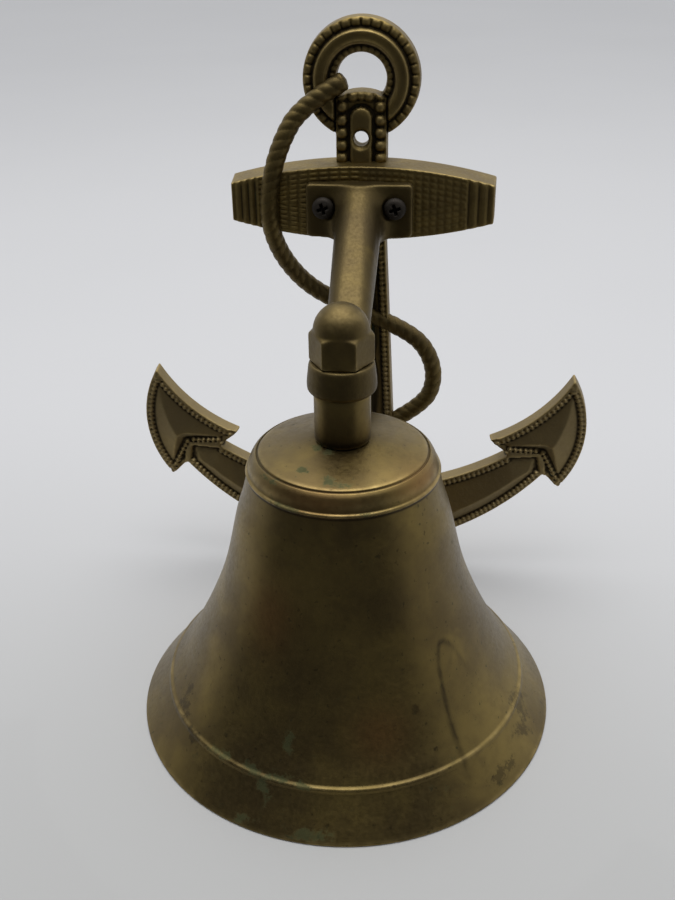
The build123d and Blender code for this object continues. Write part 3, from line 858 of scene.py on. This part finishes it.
def screw_field():
    """A pan head with a cross recess, about the screw's own centre, depth out from the plate."""
    step = 0.14 * COARSE
    span = math.ceil(4.6 / step)
    u = (np.arange(2 * span + 1) - span)[:, None, None] * step
    v = (np.arange(2 * span + 1) - span)[None, :, None] * step
    w = (-0.5 + np.arange(math.ceil(4.0 / step)) * step)[None, None, :]
    radius = np.hypot(u, v)
    dome = np.hypot(radius, w + SCREW_DOME_BACK) - SCREW_DOME
    head = smooth_max(smooth_max(radius - SCREW_HEAD, dome, 1.2), -w, 0.3)
    turn = math.radians(SCREW_TURN)
    a, b = u * math.cos(turn) + v * math.sin(turn), v * math.cos(turn) - u * math.sin(turn)
    half, reach = RECESS_HALF + 0.28 * (w - 2.0), 0.4 * (w - 2.8)
    one = np.maximum(np.abs(a) - RECESS_REACH - reach, np.abs(b) - half)
    two = np.maximum(np.abs(b) - RECESS_REACH - reach, np.abs(a) - half)
    cross = np.maximum(np.minimum(one, two), RECESS_FLOOR - w)
    return smooth_max(head, -cross, 0.25), (u[0, 0, 0], v[0, 0, 0], w[0, 0, 0]), step


field, origin, step = screw_field()
for name, x in (("left", -SCREW_X), ("right", SCREW_X)):
    place = (origin[0] + x, origin[1] + SCREW_Z, origin[2] + PLATE_FRONT)
    casting(
        "screw_head_" + name, field, place, step, from_wall, "wall_bracket", "dark_steel", SCREW_STEEL,
        ("bracket_screw_" + name,),
    )


# ---- cap nut

NUT_FLAT, NUT_SHOULDER, NUT_TOP, NUT_DOME, STUD_TOP = 9.2, 145.5, 154.7, 9.05, 150.6


def nut_field():
    """A hexagon with chamfered corners under a dome."""
    step = 0.26 * COARSE
    span = math.ceil(11.6 / step)
    x = (np.arange(2 * span + 1) - span)[:, None, None] * step
    y = (np.arange(2 * span + 1) - span)[None, :, None] * step
    z = (NUT_BOTTOM - 1 + np.arange(math.ceil(22.5 / step)) * step)[None, None, :]
    hexagon = np.abs(y)
    for angle in (60, 120):
        turn = math.radians(angle)
        hexagon = np.maximum(hexagon, np.abs(x * math.sin(turn) + y * math.cos(turn)))
    radius = np.hypot(x, y)
    body = hexagon - NUT_FLAT
    body = smooth_max(body, (radius - 10.2 + (z - NUT_SHOULDER + 0.5) * 1.35) / 1.68, 0.5)
    body = smooth_max(body, (radius - 10.3 - (z - NUT_BOTTOM) * 1.2) / 1.56, 0.5)
    body = np.maximum(body, z - NUT_SHOULDER - 0.3)
    dome = np.hypot(radius, z - NUT_TOP + NUT_DOME) - NUT_DOME
    dome = np.maximum(dome, NUT_SHOULDER - 3 - z)
    nut = smooth_min(body, dome, 0.5)
    nut = smooth_max(nut, NUT_BOTTOM - z, 0.4)
    bore = np.minimum(STUD_BORE - radius, STUD_TOP - z)
    return np.maximum(nut, bore), (-span * step, -span * step, z[0, 0, 0]), step


field, origin, step = nut_field()
casting(
    "cap_nut_domed", field, origin, step, about_axis, "bell", "turned_brass", NUT_BRASS, ("cap_nut",)
)


# ---- bell and spacer sleeve

CROWN_Z, CROWN_EDGE, CROWN_EDGE_Z = 107.2, 28.4, 103.8
SKIRT, SKIRT_Z = 64.4, 13.8  # the raised line above the lip


def through(points, spacing):
    """A smooth line through points, sampled at about one spacing (Catmull-Rom)."""
    first, last = 2 * np.array(points[0]) - points[1], 2 * np.array(points[-1]) - points[-2]
    places = np.array([first, *points, last])
    line = []
    for a, b, c, d in zip(places, places[1:], places[2:], places[3:]):
        count = max(1, round(np.linalg.norm(c - b) / spacing))
        for t in np.arange(count)[:, None] / count:
            squared = (2 * a - 5 * b + 4 * c - d) * (t * t)
            cubed = (3 * b - a - 3 * c + d) * (t * t * t)
            line.append(0.5 * (2 * b + (c - a) * t + squared + cubed))
    return [tuple(place) for place in line]


def bell_profile():
    """Outer face from the crown to the lip, then the inner face back up."""
    fine = 0.9 * COARSE
    crown = through(
        [(STUD_BORE, CROWN_Z), (10.5, CROWN_Z), (20, 105.55), (CROWN_EDGE - 0.5, CROWN_EDGE_Z + 0.1)],
        fine,
    )
    groove = [
        (CROWN_EDGE - 0.4, CROWN_EDGE_Z + 0.05), (CROWN_EDGE - 0.1, CROWN_EDGE_Z - 0.15),
        (CROWN_EDGE, CROWN_EDGE_Z - 0.55), (CROWN_EDGE + 0.1, CROWN_EDGE_Z - 0.8),
        (CROWN_EDGE + 0.4, CROWN_EDGE_Z - 0.8), (CROWN_EDGE + 0.6, CROWN_EDGE_Z - 0.55),
    ]
    shoulder = through(
        [(CROWN_EDGE + 0.8, CROWN_EDGE_Z - 0.5), (30.3, 102.2), (31.45, 100.0), (31.9, 98.2)], 0.35
    )
    bead = [
        (31.95, 98.0), (32.05, 97.75), (32.35, 97.55), (32.7, 97.35), (32.85, 97.0), (32.8, 96.65),
        (32.55, 96.4), (32.35, 96.2), (32.4, 95.8),
    ]
    waist = through(
        [
            (32.55, 95.0), (34.3, 88), (36.8, 80), (41.9, 59), (48.6, 41.5), (57.2, 24.2),
            (SKIRT - 1.0, SKIRT_Z + 1.5),
        ],
        fine,
    )
    line = [
        (SKIRT - 0.9, SKIRT_Z + 1.35), (SKIRT - 0.55, SKIRT_Z + 0.95), (SKIRT + 0.05, SKIRT_Z + 0.75),
        (SKIRT + 0.5, SKIRT_Z + 0.35), (SKIRT + 0.75, SKIRT_Z - 0.2), (SKIRT + 0.85, SKIRT_Z - 0.8),
    ]
    skirt = through([(SKIRT + 1.1, SKIRT_Z - 1.2), (69.4, 7.4), (74.2, 1.5)], fine)
    lip = through([(74.3, 1.3), (74.9, 0.6), (74.7, 0.12), (73.9, 0.0), (71.4, 0.0), (70.6, 0.15)], 0.3)
    inside = through(
        [
            (70.4, 0.3), (60.4, 12.3), (44.8, 40), (38.7, 59), (33.6, 80), (28.8, 95.9), (25.2, 100.2),
            (15, 103), (STUD_BORE, 103),
        ],
        1.6 * COARSE,
    )
    return (crown + groove + shoulder + bead + waist + line + skirt + lip + inside)[::-1]


def bump_at(value, centre, width):
    """1 at the centre, and little past the width."""
    return np.exp(-(((value - centre) / width) ** 2))


def bell_highlight_and_shade_lines(angle, height, radius):
    """Bright on the beads and the lip as painted highlights and partly rubbed wear, dark in the grooves
    beside them, and painted shade round the sleeve.
    """
    outer = radius > np.interp(height, [0, 12, 60, 96, 103], [71, 61, 39.5, 29, 20])
    # Painted highlights, partly rubbed wear, on the shoulder, the bead, the skirt line, the lip and the
    # crown's edge; the grooves beside them go dark
    edge = 0.55 * bump_at(height, 99.6, 1.5) + 0.75 * bump_at(height, 97.1, 0.5)
    edge = edge - 1.0 * bump_at(height, 96.0, 0.35)
    edge = edge + 0.5 * bump_at(height, SKIRT_Z + 0.55, 0.5) + 0.4 * bump_at(height, 0.7, 1.0)
    edge = edge - 0.5 * bump_at(height, CROWN_EDGE_Z - 0.75, 0.25) * (radius > 28) * (radius < 29.2)
    edge = edge + 0.35 * bump_at(height, CROWN_EDGE_Z + 0.1, 0.3)
    # Painted shade on the crown round the sleeve's foot
    edge = edge - 0.9 * (radius < 10.6) * (height > 105)
    return np.where(outer, edge, 0)


# Stains: degrees round from the front, height, and the half widths along the surface and up
GREEN_STAINS = [
    (-50, 107.2, 2.2, 0.5), (-20, 107.2, 2.0, 0.4), (-32, 105.2, 2.5, 0.4), (-6, 104.7, 4, 0.5),
    (8, 104.3, 3, 0.4), (-44, 102.5, 5, 0.8), (-34, 97.2, 6, 1.1), (-24, 97.0, 4, 0.8),
    (-14, 24.5, 2.5, 4), (-35, 14.7, 5, 1.6), (-24, 15.0, 4, 1.5), (-15, 14.8, 5, 1.4),
    (-8, 14.2, 5, 1.1), (-19, 11.8, 3, 2.2), (-16, 9.0, 3, 1.4), (-22, 2.4, 5, 1.5),
    (-4, 2.8, 7, 1.6), (20, 97.1, 4, 0.7),
]
DARK_STAINS = [
    (-58, 16.5, 5, 3), (-47, 13.0, 6, 2.5), (-62, 19.0, 3, 4), (75, 13.0, 6, 4), (70, 8.0, 7, 3),
    (31, 32.7, 1.4, 1.4), (35, 19.6, 1.6, 1.2), (52, 5.0, 9, 2),
]
AMBER_STAINS = [(17, 28, 9, 8), (-30, 60, 8, 12), (60, 101, 12, 3), (-10, 100, 14, 3)]
RING_MARK = [  # a dried water line, as degrees round and height
    (60, 32), (57, 40), (53, 46.5), (48.5, 48.3), (45.6, 44), (44, 36), (43, 27), (42.6, 18), (42, 11),
    (41, 6),
]


def stains(places, angle, height, radius):
    """Soft spots on the bell's surface, 1 at their middles."""
    total = np.zeros(radius.shape)
    for turn, level, wide, tall in places:
        offset = (angle - math.radians(turn) + math.pi) % (2 * math.pi) - math.pi
        away = (offset * radius / wide) ** 2 + ((height - level) / tall) ** 2
        total = np.maximum(total, np.exp(-away))
    return total


def ring_mark(angle, height, radius):
    """The dried water line, fading towards both of its ends."""
    degrees = (np.degrees(angle) + 180) % 360 - 180
    away = distance(through(RING_MARK, 2.0), degrees, height)
    fade = np.clip((62 - degrees) / 12, 0, 1) * np.clip((height - 4) / 14, 0, 1)
    return np.exp(-((away / 0.95) ** 2)) * fade


def bell_wave(angle, height):
    """A turned shell is never quite round: it is out by up to 0.15 mm, most at the lip."""
    grow = np.clip(1 - height / 110, 0, 1)
    return grow * (0.10 * np.sin(3 * angle + 0.7) + 0.05 * np.sin(7 * angle + height * 0.05))


BELL_SIDES, SLEEVE_SIDES = 360, 96
turned(
    "bell_body", bell_profile(), BELL_SIDES, "bell", "bell_brass", BELL_BRASS, ("bell_shell",),
    wave=bell_wave, edge=bell_highlight_and_shade_lines,
    green=lambda *at: stains(GREEN_STAINS, *at), dark=lambda *at: stains(DARK_STAINS, *at),
    amber=lambda *at: stains(AMBER_STAINS, *at), mark=ring_mark,
)

SLEEVE_RADIUS = 9.3


def sleeve_profile():
    """Outer face from the foot to the top, closed by the bore."""
    low, high, radius = SLEEVE_BOTTOM, SLEEVE_TOP, SLEEVE_RADIUS
    foot = through([(radius - 1.3, low), (radius - 0.5, low + 0.35), (radius - 0.05, low + 1.2)], 0.25)
    side = through([(radius, low + 1.6), (radius, high - 0.5)], 1.2)
    top = [(radius - 0.1, high - 0.15), (radius - 0.35, high), (STUD_BORE, high)]
    return ([(STUD_BORE, low)] + foot + side + top)[::-1]


def sleeve_wear_and_shade(angle, height, radius):
    """Bright just under the top, painted shadow at the foot where it stands on the crown, and dark
    against the collar.
    """
    worn = 0.3 * bump_at(height, SLEEVE_TOP - 0.3, 0.4)
    # Painted shadow at the foot, where the sleeve stands on the crown
    foot = 0.8 * bump_at(height, SLEEVE_BOTTOM, 2.6) + 0.25 * bump_at(height, SLEEVE_BOTTOM + 3, 4.5)
    return worn - foot - 0.4 * bump_at(height, SLEEVE_TOP, 0.3)


turned(
    "sleeve_turned", sleeve_profile(), SLEEVE_SIDES, "bell", "turned_brass", SLEEVE_BRASS,
    ("spacer_sleeve",), edge=sleeve_wear_and_shade,
)


# ---- pieces that keep their CAD shape

INNER_PIECES = [
    "hanger_stud", "crown_washer", "crown_nut", "clapper_link", "clapper_rod", "clapper_ball",
    "lanyard_eye",
]
for name in INNER_PIECES:
    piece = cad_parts[name]
    piece.data.materials.clear()
    piece.data.materials.append(INNER_BRASS)


# ---- floor, light and camera


def floor():
    """A light grey floor, far larger than the view, with painted light: a little lighter towards the
    back, darker towards the front.
    """
    material, tree, shader = new_material("floor_paper")
    place = node(tree, "ShaderNodeTexCoord").outputs["Object"]
    depth = node(tree, "ShaderNodeSeparateXYZ", {0: place}).outputs["Y"]
    # Painted light: the floor's colour runs from darker at the front to lighter at the back
    tone = blend(tree, ramp(tree, depth, -0.20, 0.24), rgba(0.37, 0.37, 0.362), rgba(0.50, 0.50, 0.507))
    tone = blend(tree, ramp(tree, noise(tree, 2.5, 2.0), 0.3, 0.7, 0.0, 0.05), tone, rgba(0.3, 0.3, 0.31))
    tree.links.new(tone, shader.inputs["Base Color"])
    shader.inputs["Roughness"].default_value = 0.9
    bpy.ops.mesh.primitive_circle_add(vertices=96, radius=9.0, fill_type="NGON")
    sheet = bpy.context.object
    sheet.name = "floor"
    sheet.data.materials.append(material)


def dark_reflection_sheet():
    """The dark side of the studio, in front, as a painted reflection: a faintly glowing sheet seen only
    in the brass, it lights and shades nothing.
    """
    material, tree, shader = new_material("painted_dark_reflection")
    shader.inputs["Base Color"].default_value = rgba(0.0, 0.0, 0.0)
    shader.inputs["Roughness"].default_value = 1.0
    # A faint painted glow, so the dark side seen in the brass is not quite black
    shader.inputs["Emission Color"].default_value = rgba(0.95, 0.97, 1.0)
    shader.inputs["Emission Strength"].default_value = 0.09
    near, far, tall, lift = 0.115, 0.40, 0.55, 0.0015
    start, end, count = math.radians(-78), math.radians(58), 24
    points, faces = [], []
    for angle in np.linspace(start, end, count):
        for reach, height in ((near, lift), (far, lift), (far, tall)):
            points.append((reach * math.sin(angle), BELL_Y * MM - reach * math.cos(angle), height))
    for i in range(count - 1):
        for j in range(2):
            a = 3 * i + j
            faces.append((a, a + 1, a + 4, a + 3))
    mesh = bpy.data.meshes.new("dark_reflection_sheet")
    mesh.from_pydata(points, [], faces)
    flag = placed("dark_reflection_sheet", mesh)
    mesh.materials.append(material)
    for kind in ("camera", "diffuse", "shadow", "transmission", "volume_scatter"):
        setattr(flag, "visible_" + kind, False)


def studio_light():
    """Soft light from all round, strong overhead and behind, weak from the front."""
    world = bpy.data.worlds.new("studio")
    world.use_nodes = True
    tree = world.node_tree
    bpy.context.scene.world = world
    way = node(tree, "ShaderNodeTexCoord").outputs["Generated"]
    parts = node(tree, "ShaderNodeSeparateXYZ", {0: way}).outputs
    level = ramp(tree, parts["Y"], -0.75, 0.9, 0.16, 0.95)
    right = ramp(tree, parts["X"], 0.0, 1.0, 0.0, 0.12)
    above = ramp(tree, parts["Z"], 0.62, 0.97, 0.0, 1.1)
    total = plus(tree, plus(tree, level, right), above)
    background = tree.nodes["Background"]
    background.inputs["Color"].default_value = rgba(0.97, 0.98, 1.0)
    tree.links.new(total, background.inputs["Strength"])


def soft_lamp(name, place, aim, size, power):
    """A round lamp, so many metres across, pointed at a place."""
    lamp = bpy.data.lights.new(name, "AREA")
    lamp.shape, lamp.size, lamp.energy = "DISK", size, power
    holder = placed(name, lamp)
    holder.location = place
    holder.rotation_euler = (Vector(aim) - Vector(place)).to_track_quat("-Z", "Y").to_euler()


CAMERA_AT, CAMERA_LENS = (0.03060, -0.31259, 0.27117), 42.1
YAW, PITCH, ROLL = 0.10552, 0.50052, -0.01623  # in radians


def camera():
    """In front and a little to the right, looking down at the bell."""
    data = bpy.data.cameras.new("camera")
    data.lens, data.sensor_width, data.clip_start = CAMERA_LENS, 36.0, 0.01
    holder = placed("camera", data)
    flat = math.cos(PITCH)
    forward = Vector((-math.sin(YAW) * flat, math.cos(YAW) * flat, -math.sin(PITCH)))
    level = Vector((math.cos(YAW), math.sin(YAW), 0))
    upright = level.cross(forward)
    right = math.cos(ROLL) * level + math.sin(ROLL) * upright
    up = math.cos(ROLL) * upright - math.sin(ROLL) * level
    turn = Matrix((right, up, -forward)).transposed().to_4x4()
    holder.matrix_world = Matrix.Translation(CAMERA_AT) @ turn
    bpy.context.scene.camera = holder


floor()
dark_reflection_sheet()
studio_light()
soft_lamp("overhead", (0.0, 0.15, 1.3), (0, 0.02, 0), 1.1, 9.0)
camera()
bpy.context.scene.view_settings.view_transform = "Standard"
